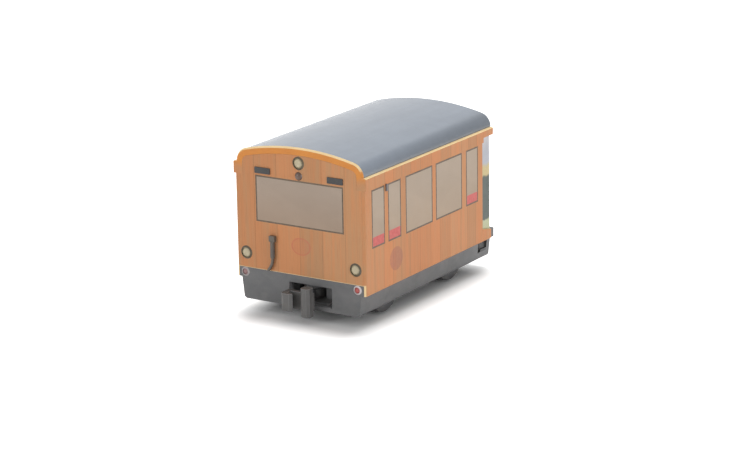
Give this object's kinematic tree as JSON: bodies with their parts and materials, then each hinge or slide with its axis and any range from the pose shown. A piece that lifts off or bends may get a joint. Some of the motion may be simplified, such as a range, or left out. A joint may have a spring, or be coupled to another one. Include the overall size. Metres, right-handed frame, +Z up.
{
  "type": "toy railway brake van",
  "caption": "Short toy brake van: orange moulded body with printed boards and windows, arched grey roof, black underframe, flanged wheelsets and swinging knuckle couplers.",
  "frame": {"origin": "middle of the bounding box on the floor that the wheel flanges stand on", "axes": "+Y along the van towards its rear, the cab front facing -Y; +Z up; +X to the right of a viewer who faces the cab front"},
  "size_m": [0.0284, 0.054, 0.0318],
  "materials": {
    "orange_moulding": "satin orange moulding",
    "grey_moulding": "satin blue-grey moulding",
    "black_moulding": "satin black moulding",
    "axle_steel": "bright drawn wire",
    "wheel_moulding": "black moulding",
    "wood_print": "satin film printed with upright boards",
    "line_print": "dark printed line",
    "pane_print": "tan-grey printed window",
    "red_print": "red print",
    "rear_block_moulding": "grey-green banded block",
    "lamp_rim": "dark olive ring",
    "lamp_lens": "cream lens",
    "dark_fitting": "dark moulding",
    "tail_rim": "white ring",
    "tail_lens": "red lens"
  },
  "bodies": {
    "van": {"body_shell": "orange_moulding", "roof": "grey_moulding", "chassis": "black_moulding", "front_coupler_keeper": "black_moulding", "rear_coupler_keeper": "black_moulding", "front_film": "wood_print", "front_window_line": "line_print", "front_window_pane": "pane_print", "right_film": "wood_print", "right_window_lines": "line_print", "right_window_panes": "pane_print", "right_red_panels": "red_print", "left_film": "wood_print", "left_window_lines": "line_print", "left_window_panes": "pane_print", "left_red_panels": "red_print", "rear_block": "rear_block_moulding", "rear_film": "wood_print", "rear_window_lines": "line_print", "rear_window_panes": "pane_print", "headlamp_rims": "lamp_rim", "headlamp_lenses": "lamp_lens", "horn": "dark_fitting", "front_plates": "dark_fitting", "jumper_cable": "dark_fitting", "tail_lamp_rims": "tail_rim", "tail_lamp_lenses": "tail_lens", "side_markers": "dark_fitting"},
    "front_wheelset": {"front_axle": "axle_steel", "front_wheels": "wheel_moulding"},
    "rear_wheelset": {"rear_axle": "axle_steel", "rear_wheels": "wheel_moulding"},
    "front_coupler": {"front_coupler": "black_moulding"},
    "rear_coupler": {"rear_coupler": "black_moulding"}
  },
  "joints": [
    {"name": "front_axle_turn", "type": "hinge", "parent": "van", "child": "front_wheelset", "pos_m": [0, -0.0127, 0.0054], "axis": [1, 0, 0], "continuous": true},
    {"name": "rear_axle_turn", "type": "hinge", "parent": "van", "child": "rear_wheelset", "pos_m": [0, 0.0103, 0.0054], "axis": [1, 0, 0], "continuous": true},
    {"name": "front_coupler_swing", "type": "hinge", "parent": "van", "child": "front_coupler", "pos_m": [0, -0.0183, 0.0041], "axis": [0, 0, 1], "range_deg": [-12, 12]},
    {"name": "rear_coupler_swing", "type": "hinge", "parent": "van", "child": "rear_coupler", "pos_m": [0, 0.0183, 0.0041], "axis": [0, 0, 1], "range_deg": [-12, 12]}
  ]
}
